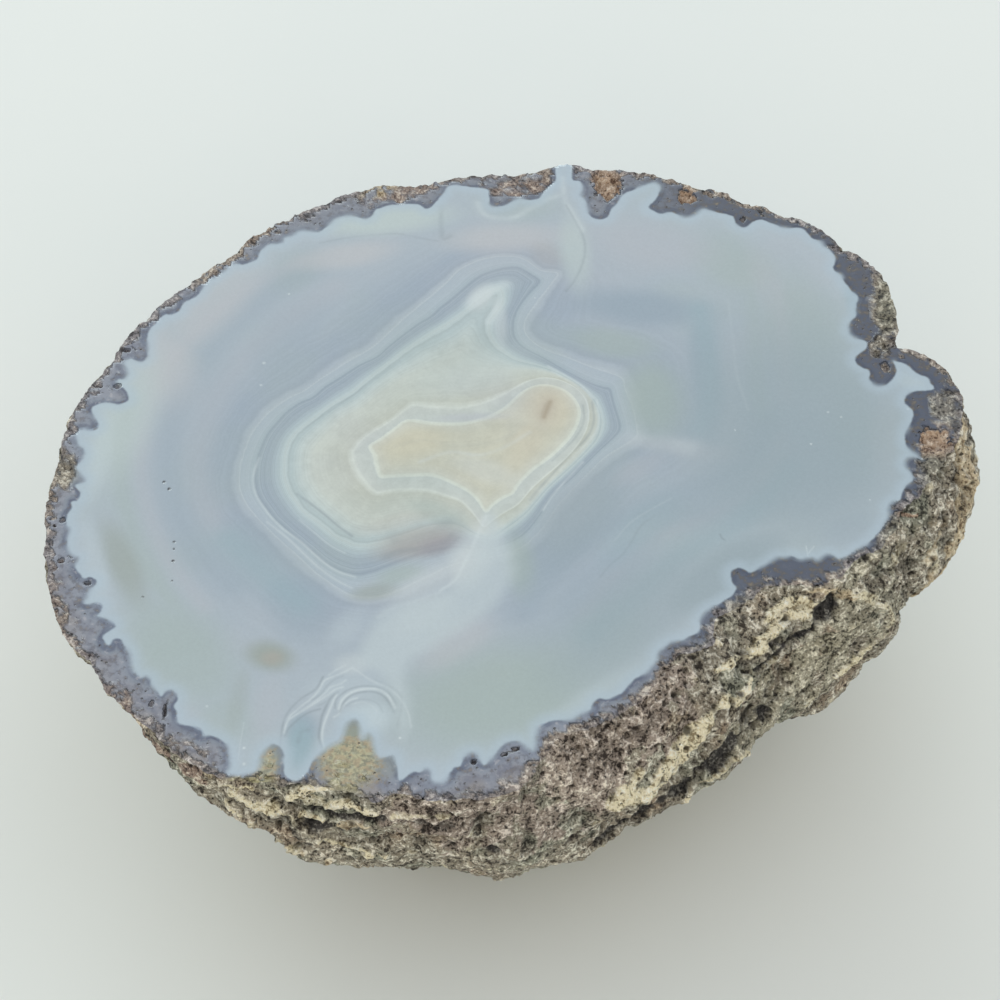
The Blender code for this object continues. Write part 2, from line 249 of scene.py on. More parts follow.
# Soft patches on the face: which colour, the middle in pixels, half width and half height in pixels, how
# far it is turned anticlockwise in degrees, and its strength
PATCHES = [
    ("mint", 385, 220, 66, 14, 4, 0.8), ("rosy", 345, 256, 48, 12, 8, 0.6),
    ("slate", 385, 300, 60, 22, 38, 0.2), ("slate", 285, 335, 60, 26, 42, 0.3),
    ("slate", 215, 430, 34, 90, -12, 0.25), ("rosy", 215, 305, 60, 24, 45, 0.4),
    ("sage", 295, 272, 26, 18, 30, 0.4), ("rosy", 505, 238, 60, 14, 3, 0.6),
    ("umber", 548, 255, 18, 12, -20, 0.25), ("sage", 520, 205, 42, 16, 0, 0.35),
    ("mint", 575, 252, 15, 36, 6, 0.6), ("lavender", 655, 245, 58, 24, -6, 0.55),
    ("sage", 738, 268, 48, 26, -20, 0.5), ("slate", 640, 308, 66, 18, -4, 0.8),
    ("sage", 612, 343, 46, 15, -8, 0.6), ("sage", 655, 400, 30, 40, 12, 0.8),
    ("slate", 706, 375, 15, 60, 4, 0.75), ("sage", 800, 330, 42, 60, 20, 0.5),
    ("lavender", 770, 290, 14, 40, 20, 0.3), ("lavender", 690, 449, 60, 9, -6, 0.5),
    ("lavender", 575, 510, 24, 40, -42, 0.35), ("lavender", 640, 468, 40, 10, 30, 0.4),
    ("slate", 720, 500, 90, 26, 10, 0.5), ("slate", 600, 580, 70, 26, 38, 0.5),
    ("teal", 640, 530, 50, 20, 40, 0.35), ("lavender", 640, 580, 40, 18, 38, 0.2),
    ("sage", 520, 565, 16, 32, 8, 0.7), ("slate", 800, 460, 60, 50, 0, 0.35),
    ("sage", 850, 420, 24, 60, 0, 0.3), ("rosy", 884, 440, 15, 40, -8, 0.3),
    ("slate", 850, 530, 30, 16, 20, 0.3), ("sage", 500, 695, 110, 52, 14, 0.75),
    ("sage", 600, 640, 50, 30, 30, 0.4), ("rosy", 455, 642, 42, 18, 32, 0.4),
    ("slate", 300, 610, 40, 26, -35, 0.5), ("slate", 240, 560, 40, 40, -30, 0.3),
    ("mint", 125, 415, 30, 62, -14, 0.6), ("rosy", 165, 365, 30, 40, 30, 0.5),
    ("sage", 180, 650, 70, 40, -40, 0.55), ("sage", 225, 720, 30, 26, -30, 0.4),
    ("olive", 122, 562, 15, 46, 28, 0.6), ("olive", 270, 656, 24, 14, -14, 0.8),
    ("umber", 272, 658, 11, 7, 0, 0.5), ("olive", 375, 592, 24, 8, 6, 0.55),
    ("sage", 400, 575, 24, 9, 14, 0.6), ("olive", 465, 350, 42, 16, 20, 0.2),
    ("umber", 420, 541, 44, 15, 12, 0.6), ("plum", 438, 547, 20, 9, 14, 0.5),
    ("sage", 440, 515, 32, 10, -20, 0.5), ("umber", 400, 522, 40, 8, 12, 0.25),
    ("amber", 415, 443, 34, 14, 14, 0.35), ("mint", 470, 372, 60, 20, 16, 0.4),
    ("sand", 548, 408, 24, 22, 50, 0.35), ("sand", 528, 440, 14, 34, -36, 0.25),
    ("umber", 546, 408, 9, 15, -24, 0.4), ("glow", 485, 470, 34, 12, -20, 0.3),
    ("olive", 470, 428, 50, 6, 4, 0.12), ("lavender", 470, 417, 34, 4, 2, 0.5),
    ("pale", 350, 625, 24, 14, 40, 0.3), ("glow", 352, 664, 18, 10, 0, 0.4),
    ("lavender", 268, 705, 16, 34, -8, 0.4), ("olive", 238, 700, 9, 30, -10, 0.25),
    ("glow", 470, 560, 20, 34, -38, 0.7), ("glow", 484, 530, 12, 16, -20, 0.5),
    ("glow", 425, 610, 34, 20, 30, 0.4), ("glow", 481, 297, 15, 10, 45, 0.6),
    ("glow", 430, 582, 46, 14, 26, 0.45), ("glow", 500, 320, 7, 24, 4, 0.4),
    ("pale", 350, 688, 40, 16, 0, 0.3), ("pale", 368, 718, 24, 16, 0, 0.8),
    ("teal", 300, 745, 14, 26, 0, 0.9), ("slate", 303, 730, 15, 17, 0, 0.75),
    ("deep", 800, 430, 130, 110, 0, 0.75), ("deep", 720, 575, 90, 26, 32, 0.8),
    ("deep", 640, 610, 110, 40, 36, 0.6), ("deep", 575, 520, 60, 30, 45, 0.6),
    ("deep", 700, 520, 70, 40, 20, 0.3), ("deep", 720, 410, 30, 50, 0, 0.4),
    ("deep", 850, 500, 50, 50, 0, 0.4), ("pale", 100, 455, 12, 40, -8, 0.5),
    ("pale", 95, 560, 10, 44, 18, 0.3), ("teal", 855, 300, 9, 30, 8, 0.5),
    ("pale", 910, 382, 16, 8, -20, 0.7), ("pale", 590, 695, 60, 8, 34, 0.3),
    ("slate", 560, 610, 60, 24, 40, 0.3),
]

# Broad soft arcs in the field: which colour, half width in millimetres, strength, and the path in pixels
ARCS = [
    ("slate", 2.6, 0.42, "315,266 255,305 205,357 174,418 168,480 190,540 232,584"),
    ("lavender", 1.8, 0.45, "335,288 280,325 232,375 203,430 200,482 222,535 262,575"),
    ("teal", 2.4, 0.60, "228,540 262,572 300,602"),
    ("lavender", 1.2, 0.45, "300,262 235,298 180,350 148,412 143,480 165,552 205,606"),
    ("sage", 1.6, 0.45, "128,400 120,450 126,510 150,570 185,620"),
    ("slate", 2.6, 0.55, "768,425 748,462 704,488 642,510 592,536 552,576 524,612"),
    ("lavender", 0.9, 0.50, "782,436 764,480 717,512 660,536 618,572 584,612"),
    ("teal", 2.0, 0.50, "790,470 735,526 680,556 634,598 590,634"),
    ("sage", 1.4, 0.40, "752,290 756,340 758,390 764,420"),
    ("lavender", 1.0, 0.40, "776,285 784,340 786,400"),
    ("teal", 1.8, 0.60, "700,310 708,350 710,400 700,430"),
]

# Rough or coloured places inside the rim, as the patches are
RIM_PATCHES = [
    ("pink", 607, 184, 16, 15, 0, 1.2), ("pink", 686, 196, 12, 9, 0, 1.1),
    ("rust", 520, 187, 44, 12, 6, 0.8), ("rust", 400, 194, 44, 9, 14, 0.8),
    ("tan", 378, 190, 18, 6, 16, 1.0), ("rust", 590, 176, 30, 6, 0, 0.5),
    ("moss", 888, 300, 15, 40, -10, 1.0), ("moss", 880, 345, 12, 16, 0, 0.6),
    ("pink", 934, 438, 19, 15, 10, 1.4), ("pink", 908, 515, 9, 6, 0, 1.3),
    ("moss", 940, 470, 22, 30, 10, 0.9), ("moss", 946, 410, 14, 30, 0, 0.6),
    ("moss", 924, 406, 20, 14, 0, 0.75), ("moss", 900, 530, 26, 16, 40, 0.9),
    ("gold", 350, 764, 32, 28, 0, 1.1), ("gold", 267, 768, 11, 18, -10, 0.9),
    ("gold", 246, 782, 28, 7, 0, 1.0), ("moss", 300, 785, 30, 6, 0, 0.6), ("rosy", 400, 790, 26, 8, 0, 0.5),
    ("rust", 74, 640, 16, 24, 30, 0.4), ("rust", 58, 590, 8, 44, 4, 0.4),
    ("rust", 120, 700, 26, 14, -42, 0.7), ("rosy", 190, 750, 36, 12, -32, 0.6),
    ("moss", 66, 470, 12, 20, 0, 0.6), ("fern", 350, 748, 34, 30, 0, 1.3),
    ("rosy", 520, 780, 50, 10, 10, 0.5), ("moss", 740, 604, 16, 10, 30, 0.6),
    ("rust", 270, 226, 60, 6, 28, 0.4), ("moss", 700, 640, 14, 8, 30, 0.4),
    ("fern", 266, 762, 15, 20, -10, 1.0), ("dusk", 263, 787, 10, 8, 0, 1.3),
    ("fern", 66, 475, 14, 12, 0, 0.6), ("fern", 385, 765, 14, 14, 0, 0.5),
]

# Specks on the face: black or white, the place in pixels and the radius in millimetres
SPECKS = [
    ("crack", 164, 482, 0.16), ("crack", 169, 489, 0.18), ("crack", 174, 542, 0.14),
    ("crack", 174, 549, 0.12), ("crack", 273, 786, 0.40), ("crack", 173, 561, 0.16),
    ("crack", 172, 581, 0.10), ("crack", 143, 597, 0.12), ("crack", 79, 515, 0.05),
    ("white", 264, 363, 0.20), ("white", 261, 385, 0.16), ("white", 289, 294, 0.12),
    ("white", 535, 298, 0.10), ("white", 244, 748, 0.16), ("white", 244, 764, 0.18),
    ("white", 207, 706, 0.14), ("white", 226, 771, 0.14), ("white", 123, 396, 0.16),
    ("white", 828, 412, 0.14), ("white", 841, 417, 0.12), ("white", 811, 444, 0.12),
    ("white", 908, 409, 0.16), ("white", 400, 738, 0.14), ("white", 870, 500, 0.10),
    ("white", 735, 430, 0.10),
]

# Real cavities in the polished face: the middle in pixels, half width and half height in pixels, depth
CAVITIES = [
    (606, 184, 13, 12, 1.1), (612, 176, 8, 5, 0.6), (686, 197, 9, 7, 0.9), (934, 438, 14, 10, 0.9),
    (908, 515, 7, 4, 0.6), (743, 219, 3, 3, 0.3), (270, 787, 8, 9, 1.4), (128, 350, 4, 2, 0.4),
    (882, 345, 4, 3, 0.5), (885, 366, 4, 5, 0.5), (878, 352, 3, 3, 0.4), (505, 754, 4, 2, 0.4),
    (516, 749, 4, 2, 0.4), (474, 761, 3, 3, 0.4), (165, 710, 2, 8, 0.4), (152, 703, 3, 3, 0.4),
    (61, 560, 3, 3, 0.4), (87, 583, 4, 2, 0.3), (62, 520, 3, 3, 0.3), (118, 386, 4, 3, 0.3),
]

# Kinds of stone on the rind and painted shade in its recesses: which, how strong, half width in millimetres,
# and the path in pixels
RIND_ZONES = [
    # the upper ledge with its holes painted dark as shade, and the thin painted shadow under it
    ("cream", 1.0, 0.7, "716,670 730,664 742,656"),
    ("cream", 1.0, 1.2, "745,657 757,648 768,637 778,627 790,617 802,611 808,606"),
    ("cream", 0.9, 0.5, "762,624 775,612 790,601 805,597"),
    ("soot", 0.8, 0.35, "745,672 758,669 770,661 781,650 788,640 792,636 802,634 813,630 818,620"),
    ("soot", 0.8, 0.5, "770,645 776,640 780,637"),
    ("soot", 0.6, 0.35, "751,645 753,640"),
    ("soot", 0.5, 0.3, "763,626 766,623"),
    ("soot", 0.5, 0.3, "779,622 783,619"),
    ("soot", 0.8, 1.2, "824,614 830,606"),
    ("tan", 0.8, 0.6, "808,592 822,590 840,594 852,597"),
    ("cream", 0.6, 0.6, "850,594 866,595 880,603 890,612 887,624"),
    ("cream", 0.8, 0.7, "838,672 850,664 858,655 864,648"),
    ("cream", 0.5, 0.35, "862,652 874,643 886,632"),
    ("cream", 0.4, 0.35, "832,640 846,630 860,622"),
    ("cream", 0.4, 0.3, "790,690 806,682 820,672"),
    # painted shade along the edges of the smaller ledges
    ("soot", 0.4, 0.35, "828,656 840,648 852,640"),
    ("soot", 0.4, 0.4, "784,706 800,696 818,684"),
    ("soot", 0.5, 0.5, "848,672 862,660 880,640"),
    ("soot", 0.45, 1.6, "760,708 775,690 782,672"),
    # the second ledge, which widens downwards, with a thin painted shadow along its edge
    ("cream", 0.9, 0.5, "750,680 745,690 736,702"),
    ("cream", 1.0, 1.1, "724,702 714,712 702,724"),
    ("cream", 1.0, 1.5, "694,738 680,756 666,772 652,788 638,799"),
    ("cream", 0.8, 1.3, "636,776 628,788 618,802"),
    ("soot", 0.6, 0.3, "731,700 730,716 720,727 708,742 700,757"),
    # the painted shade in the recess under it, and the pale lip at the foot
    ("soot", 1.0, 1.0, "766,716 752,728 736,742 720,756 704,770 688,782"),
    ("soot", 1.0, 0.9, "688,782 670,797 652,807 636,816 618,827 606,836"),
    ("cream", 0.8, 0.4, "770,730 756,741 742,754 724,768 706,780 684,798 660,814"),
    ("cream", 0.9, 0.5, "638,827 622,837 604,848"),
    # the layers at the front left, with painted shade in the grooves between them
    ("cream", 0.9, 0.4, "222,780 236,783 252,783"),
    ("cream", 1.0, 1.1, "234,789 250,798 264,803 275,808"),
    ("cream", 0.7, 0.5, "280,810 292,816"),
    ("cream", 0.9, 0.35, "302,811 314,813 323,817"),
    ("cream", 0.8, 0.7, "292,793 305,788 320,784 335,788 345,793"),
    ("cream", 1.0, 0.7, "327,806 340,801 352,802 363,806 372,810"),
    ("tan", 0.9, 0.45, "342,825 358,826 376,824"),
    ("cream", 0.9, 0.4, "318,835 335,840 350,844 366,849 386,853"),
    ("cream", 0.9, 0.4, "226,799 240,812 252,822 265,831 280,838 297,846"),
    ("tan", 0.7, 0.4, "250,831 270,840 300,851 330,858 352,864 374,869"),
    ("cream", 0.6, 0.35, "392,812 420,813 450,818"),
    ("cream", 0.5, 0.35, "398,832 440,836"),
    ("soot", 0.9, 0.5, "274,800 290,803 310,807 326,811"),
    ("soot", 1.0, 0.6, "328,814 342,816 358,817 376,817"),
    ("soot", 1.0, 0.9, "313,823 325,825 335,830 343,834"),
    ("soot", 0.4, 0.8, "264,815 280,821 298,833"),
    ("soot", 0.35, 1.4, "570,750 586,768"),
    ("soot", 0.6, 0.6, "350,835 368,837 382,840"),
    ("soot", 0.7, 0.25, "222,789 232,800 244,812 256,822 268,832 286,838"),
    ("soot", 0.7, 0.3, "300,843 320,845 340,850 365,858 382,857"),
    ("soot", 0.5, 0.5, "396,822 420,824 450,830"),
    ("soot", 0.4, 0.5, "440,812 480,816"),
    # holes, painted dark as shade
    ("soot", 0.9, 1.0, "902,606 906,612"),
    ("soot", 0.8, 0.9, "491,851 493,852"),
    ("soot", 0.5, 0.9, "525,853 527,853"),
    ("rosy", 0.9, 6.0, "560,765 600,750 640,720 660,690"),
    ("rosy", 0.8, 5.0, "420,815 480,820 540,820 600,790"),
    ("rosy", 0.8, 3.5, "516,778 528,800"),
    ("pink", 1.0, 0.55, "905,514 912,516"),
    ("tan", 0.9, 2.6, "955,545 970,500 977,450 972,425"),
    ("tan", 0.7, 1.6, "940,575 925,600 915,620"),
    ("tan", 0.6, 1.5, "925,560 945,520"),
    ("facet", 1.0, 6.0, "860,625 820,660 780,700 750,728"),
    ("facet", 0.8, 3.0, "860,612 830,610 812,622"),
    ("rust", 0.8, 1.5, "50,560 60,610 80,655 110,700 150,740 200,775"),
    ("layers", 1.0, 7.0, "235,800 300,825 380,838 440,845"),
    ("crag", 1.0, 6.0, "845,572 880,560 910,540 935,500 945,450"),
    ("crag", 0.7, 4.0, "560,745 600,725 650,690 690,660"),
]

# The streaks of the smooth facet run from the first of these pixels to the second
STREAKS = ((750, 728), (860, 625))

# How many steps an open line has for each of its traced pixels
LINE_STEPS = 4

# How fine the rind's grid is
COLUMNS = 1240
ROWS = 161
SIDE_ROWS = 80  # the rows from the cut edge down that make the side piece
TOP_SHARE = 0.62  # the row spacing at the cut edge, as a share of an even spacing
DIPS = 181  # how many rays feel each column, from level to straight down
CLEAR = 0.05  # rays start this far from the middle of the cut, inside the solid
EDGE_BLUR = (2, 0)  # columns and rows that the solid's facets are smoothed over, at the edge and below
SIDE_BLUR = (3, 2)
TOP_BAND = 0.01  # points of the solid this near its top are on the cut edge
LEAST_DROP = 0.02  # how far the rind's other rows stay below its top one

# How the rind stands out
CREAM_RISE = 0.6
# how far the places with painted shade sink in
RECESS_SHADE_DROP = 1.0
EDGE_SHARE = 0.35  # the share of the relief that is left right at the cut edge
EDGE_FADE = 1.0  # over this length it comes back
FOOT_FADE = 1.2  # the relief ends over this height above the floor
RAGGED = {"cream": 0.9}  # how ragged the outlines of some kinds of stone are
MORE_RAGGED = 1.5  # and of all others
CALM = 0.45  # how much smoother the facet is
FAINT = 0.01  # a weight below this is left out
MARGIN = 2.5  # how far round a line its effect is looked for, in half widths

# How fine the face's mesh is: its least spacing, and how far it is finer round lines and other details
FINE_STEP = 0.16
NEAR_LINES = 0.6
NEAR_CAVITIES = 2.2
NEAR_SPECKS = 0.5
NEAR_BANDS = 1.1
NEAR_EDGE = 2.6
EDGE_GAP = 0.12  # points inside the edge keep this far from it
BATCH = 4000  # how many places are tested at once
CRUST_REACH = 4  # the crust's ragged strip is looked for this far from the edge
CORE_WIDTH = 6.0  # the core's colours run over this length

# The studio, in metres: each light's name, place, size, power and colour, then the sky's colour and strength
FLOOR_REACH = 3
FLOOR_TINTS = ((226, 230, 228), (232, 234, 231))
LIGHTS = [
    ("window", (-0.5, 1.5, 0.5), 1.2, 12.9, (0.90, 1.0, 0.97)),
    ("lamp", (0.0, -1.2, 0.8), 1.0, 4.2, (1.0, 0.80, 0.45)),
]
LIGHTS_FACE = Vector((0, 0, 0.02))
SKY = ((0.89, 0.935, 0.965, 1), 0.86)


def on_face(pixels):
    """The places on the polished face that show at some pixels, as rows of x and y."""
    pixels = np.asarray(pixels, float)
    across = (pixels[:, 0:1] - PICTURE_MIDDLE[0]) / FOCAL
    down = (pixels[:, 1:2] - PICTURE_MIDDLE[1]) / FOCAL
    ray = across * np.array(RIGHT) - down * np.array(UP) - np.array(BACK)
    far = (FACE_HEIGHT - EYE.z) / ray[:, 2:3]
    return (np.array(EYE) + ray * far)[:, :2]


MIDDLE = Vector((*on_face([CUT_MIDDLE])[0], FACE_HEIGHT))


def eased(share):
    """Shares cut to 0 to 1, that start and end gently."""
    share = np.clip(share, 0.0, 1.0)
    return share * share * (3 - 2 * share)


def rounded(points, closed, steps=3):
    """A smooth line through some points, with some steps for each of them."""
    points = np.asarray(points, float)
    if closed:
        before, after, after_that = np.roll(points, 1, 0), np.roll(points, -1, 0), np.roll(points, -2, 0)
    else:
        padded = np.vstack([2 * points[0] - points[1], points, 2 * points[-1] - points[-2]])
        before, points, after, after_that = padded[:-3], padded[1:-2], padded[2:-1], padded[3:]
    line = []
    for step in range(steps):
        t = step / steps
        line.append(0.5 * (2 * points + (after - before) * t
                           + (2 * before - 5 * points + 4 * after - after_that) * t**2
                           + (3 * points - before - 3 * after + after_that) * t**3))
    line = np.stack(line, 1).reshape(-1, points.shape[1])
    return line if closed else np.vstack([line, after[-1]])


def from_line(places, line, closed=False, step=0.04):
    """How far each place is from a line of straight stretches, in two or three dimensions."""
    line = np.asarray(line)
    line = np.vstack([line, line[:1]]) if closed else line
    run = np.concatenate([[0], np.cumsum(np.linalg.norm(np.diff(line, axis=0), axis=1))])
    stops = np.arange(0, run[-1] + step, step)
    spots = [np.interp(stops, run, line[:, axis]) for axis in range(line.shape[1])]
    spots += [np.zeros(len(stops))] * (3 - len(spots))
    tree = KDTree(len(stops))
    for index, spot in enumerate(zip(*spots)):
        tree.insert(spot, index)
    tree.balance()
    flat = places.shape[1] == 2
    return np.array([tree.find((*place, 0.0) if flat else place)[2] for place in places.tolist()])


def inside(places, line):
    """Whether each place is inside a closed line."""
    x, y = places[:, 0:1], places[:, 1:2]
    x1, y1 = line[:, 0], line[:, 1]
    x2, y2 = np.roll(x1, -1), np.roll(y1, -1)
    result = np.empty(len(places), bool)
    rise = np.where(y2 == y1, LEAST_RISE, y2 - y1)
    for first in range(0, len(places), BATCH):
        some = slice(first, first + BATCH)
        px, py = x[some], y[some]
        crosses = ((y1 > py) != (y2 > py)) & (px < x1 + (py - y1) * (x2 - x1) / rise)
        result[some] = crosses.sum(1) % 2 == 1
    return result


# The solid, in millimetres, to cast rays on
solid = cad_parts["agate_half"].data
SOLID_POINTS = [vert.co / MM for vert in solid.vertices]
SOLID = BVHTree.FromPolygons(SOLID_POINTS, [face.vertices[:] for face in solid.polygons])


def on_stone(pixel):
    """The place on the solid that shows at a pixel."""
    across = (pixel[0] - PICTURE_MIDDLE[0]) / FOCAL
    down = (pixel[1] - PICTURE_MIDDLE[1]) / FOCAL
    ray = (RIGHT * across - UP * down - BACK).normalized()
    hit = SOLID.ray_cast(EYE, ray)[0]
    return SOLID.find_nearest(EYE + ray * VIEW_DISTANCE)[0] if hit is None else hit


def smoothed(rows, across, along):
    """A grid averaged over neighbouring columns, which close in a ring, and over neighbouring rows."""
    total = sum(np.roll(rows, shift, 1) for shift in range(-across, across + 1)) / (2 * across + 1)
    padded = np.pad(total, ((along, along), (0, 0)), mode="edge")
    return sum(padded[shift:shift + len(rows)] for shift in range(2 * along + 1)) / (2 * along + 1)


def cut_edge(bearings):
    """The reach of the solid's cut edge at some bearings."""
    loop = np.array([point for point in SOLID_POINTS if point.z > FACE_HEIGHT - TOP_BAND])
    arm = loop[:, :2] - np.array(MIDDLE)[:2]
    turn = np.arctan2(arm[:, 1], arm[:, 0]) % math.tau
    order = np.argsort(turn)
    return np.interp(bearings, turn[order], np.hypot(*arm[order].T), period=math.tau)


def bare_rind():
    """The grid of places on the solid's side and foot, from the cut edge down to the middle of the foot."""
    bearings = np.linspace(0, math.tau, COLUMNS, endpoint=False)
    dips = np.radians(np.linspace(0, 90, DIPS))
    reach = np.empty((len(dips), COLUMNS))
    reach[0] = cut_edge(bearings)
    for row, dip in enumerate(dips[1:], 1):
        level = math.cos(dip)
        for column, bearing in enumerate(bearings):
            way = Vector((math.cos(bearing) * level, math.sin(bearing) * level, -math.sin(dip)))
            reach[row, column] = CLEAR + SOLID.ray_cast(MIDDLE + way * CLEAR, way)[3]
    edge = smoothed(reach[:1], *EDGE_BLUR)
    reach = smoothed(reach, *SIDE_BLUR)
    reach[0] = edge[0]
    lowest = FACE_HEIGHT / np.maximum(np.sin(dips), TINY)
    reach = np.minimum(reach, lowest[:, None])
    ways = np.stack([
        np.outer(np.cos(dips), np.cos(bearings)), np.outer(np.cos(dips), np.sin(bearings)),
        np.repeat(-np.sin(dips)[:, None], COLUMNS, 1),
    ], 2)
    places = np.array(MIDDLE) + ways * reach[..., None]
    run = np.zeros((len(dips), COLUMNS))
    run[1:] = np.cumsum(np.linalg.norm(np.diff(places, axis=0), axis=2), 0)
    even = np.linspace(0, 1, ROWS)
    stops = TOP_SHARE * even + (1 - TOP_SHARE) * even**3
    grid = np.empty((ROWS, COLUMNS, 3))
    for column in range(COLUMNS):
        for axis in range(3):
            line = places[:, column, axis]
            grid[:, column, axis] = np.interp(stops * run[-1, column], run[:, column], line)
    return grid


def outward(grid):
    """Unit vectors out of a grid's surface."""
    along = np.roll(grid, -1, 1) - np.roll(grid, 1, 1)
    down = np.empty_like(grid)
    down[1:-1] = grid[2:] - grid[:-2]
    down[0], down[-1] = grid[1] - grid[0], grid[-1] - grid[-2]
    normal = np.cross(down, along)
    return normal / np.maximum(np.linalg.norm(normal, axis=2, keepdims=True), LEAST_NORMAL)


def lumps(place, size, octaves=3):
    """Uneven values round 0, whose largest lumps have a size in millimetres."""
    return noise.fractal(Vector(place) / size, 0.8, 2.0, octaves)


def close_by(places, line, reach):
    """Whether each place is in the box round a line, grown by a reach."""
    return np.all((places > line.min(0) - reach) & (places < line.max(0) + reach), 1)


def zone_weights(places):
    """For each kind of stone on the rind, and for the painted shade in its recesses, how much of it there is
    at each place.
    """
    ragged = np.array([lumps(place, 3.4) for place in places])
    weights = {}
    for kind, strength, width, path in RIND_ZONES:
        line = rounded([on_stone(pixel) for pixel in traced(path)], closed=False, steps=LINE_STEPS)
        near = close_by(places, line, MARGIN * width)
        weight = np.zeros(len(places))
        gap = from_line(places[near], line) / width
        weight[near] = strength * eased(1.4 - gap + RAGGED.get(kind, MORE_RAGGED) * ragged[near])
        weights[kind] = np.maximum(weights.get(kind, 0.0), weight)
    return weights


def chip(x, y):
    """How far the rough stone at the cut edge lies below the polish."""
    place = Vector((x, y, 0))
    return max(0.0, 0.22 + 0.45 * lumps(place, 1.7) + 0.12 * noise.noise(place / 0.6))


def relief(places, weights):
    """How far the rind stands out at each place, and how deep it lies in a pit or hollow (0 to 1), where
    painted shade goes.
    """
    grain_way = (on_stone(STREAKS[1]) - on_stone(STREAKS[0])).normalized()
    height = np.empty(len(places))
    pit = np.empty(len(places))
    for index, place in enumerate(places):
        facet, layers, craggy = (weights[kind][index] for kind in ("facet", "layers", "crag"))
        where = Vector(place)
        broad = noise.fractal(where / 7.0, 0.85, 2.1, 3) * 0.45
        rough = noise.fractal(where / 1.5, 0.75, 2.1, 3)
        wobble = where + Vector((rough, -rough, rough)) * 0.5
        ridge = 0.5 - 2 * abs(noise.noise(wobble / 3.4))
        crest = 0.5 - 2 * abs(noise.noise(wobble / 1.5 + Vector((3.1, 8.2, 5.5))))
        distances, centres = noise.voronoi(wobble / 1.5 + Vector((7.1, 3.3, 9.2)))
        lot = noise.cell(centres[0] * 9.7)
        size = 0.26 + 0.20 * lot
        hole = max(0.0, 1 - (distances[0] / size) ** 2) if lot > 0.1 else 0.0
        strata = 0.0
        if layers > FAINT:
            flat = Vector((where.x / 8, where.y / 8, where.z / 1.5 + broad + 0.3 * rough))
            strata = (0.8 - 2 * abs(lumps(flat, 1, 2))) * 0.55 * layers
        if facet > FAINT:
            drawn = where - grain_way * (0.85 * where.dot(grain_way))
            strata += 0.40 * facet * lumps(drawn, 0.9)
        calm = 1 - CALM * facet
        crags = (0.50 * ridge + 0.36 * crest) * (1 + 0.7 * craggy) + rough * 0.20
        height[index] = broad + crags * calm + strata - hole * 0.6 * calm
        pit[index] = min(1.0, hole * calm + max(0.0, -0.2 - 0.7 * ridge - 0.5 * crest))
    return height, pit


def rind_pieces():
    """The rough rind, as a side and a foot that share a row: its grain, pits, crags and layers."""
    grid = bare_rind()
    normal = outward(grid)
    places = grid.reshape(-1, 3)
    weights = zone_weights(places)
    height, pit = relief(places, weights)
    height += CREAM_RISE * weights["cream"] - RECESS_SHADE_DROP * weights["soot"]
    height = height.reshape(ROWS, COLUMNS)
    run = np.linalg.norm(grid - grid[0], axis=2)
    fade = EDGE_SHARE + (1 - EDGE_SHARE) * eased(run / EDGE_FADE)
    foot = eased(grid[..., 2] / FOOT_FADE)
    moved = grid + normal * (height * fade * foot)[..., None]
    side = normal[0] * np.array([1, 1, 0])
    side /= np.linalg.norm(side, axis=1, keepdims=True)
    moved[0] = grid[0] + side * (0.5 * height[0])[:, None]
    moved[0, :, 2] -= [chip(x, y) for x, y in moved[0, :, :2]]
    moved[1:, :, 2] = np.minimum(moved[1:, :, 2], moved[0, :, 2] - LEAST_DROP)
    moved[..., 2] = np.maximum(moved[..., 2], 0.0)
    values = {kind: weight for kind, weight in weights.items() if kind not in ("layers", "crag")}
    values["pit"] = pit
    values["height"] = height.reshape(-1)
    pieces = []
    for name, first, last in (("rind_side", 0, SIDE_ROWS), ("rind_foot", SIDE_ROWS, ROWS - 1)):
        faces = []
        for row in range(last - first):
            for column in range(COLUMNS):
                a, b = row * COLUMNS + column, row * COLUMNS + (column + 1) % COLUMNS
                if first + row == ROWS - 2:
                    faces.append((a, b, (row + 1) * COLUMNS))
                else:
                    faces.append((a, b, b + COLUMNS, a + COLUMNS))
        start = first * COLUMNS
        count = (last - first) * COLUMNS + (1 if last == ROWS - 1 else COLUMNS)
        piece = mesh_piece(name, moved.reshape(-1, 3)[start:start + count], faces)
        for kind, value in values.items():
            add_attribute(piece, kind, value[start:start + count])
        pieces.append(piece)
    return pieces, moved[0]


def mesh_piece(name, points, faces):
    """A new smooth object from points in millimetres and faces."""
    mesh = bpy.data.meshes.new(name)
    mesh.from_pydata((np.asarray(points) * MM).tolist(), [], faces)
    mesh.shade_smooth()
    piece = bpy.data.objects.new(name, mesh)
    bpy.context.scene.collection.objects.link(piece)
    return piece


def add_attribute(piece, name, values):
    """Keeps one number for each point of a piece."""
    attribute = piece.data.attributes.new(name, "FLOAT", "POINT")
    attribute.data.foreach_set("value", np.asarray(values, np.float32))


def marked(shape, corner, places, reach):
    """A grid of FINE_STEP cells in which those within a reach of some places are marked."""
    cells = np.zeros(shape, bool)
    at = np.round((places - corner) / FINE_STEP).astype(int)
    size = int(math.ceil(reach / FINE_STEP))
    for across in range(-size, size + 1):
        for along in range(-size, size + 1):
            if across**2 + along**2 <= size**2:
                spot = np.clip(at + (across, along), 0, np.array(shape) - 1)
                cells[spot[:, 0], spot[:, 1]] = True
    return cells


def dense(line, closed):
    """Places along a line, close together."""
    line = np.vstack([line, line[:1]]) if closed else np.asarray(line)
    run = np.concatenate([[0], np.cumsum(np.linalg.norm(np.diff(line, axis=0), axis=1))])
    steps = np.arange(0, run[-1], FINE_STEP)
    return np.stack([np.interp(steps, run, line[:, 0]), np.interp(steps, run, line[:, 1])], 1)


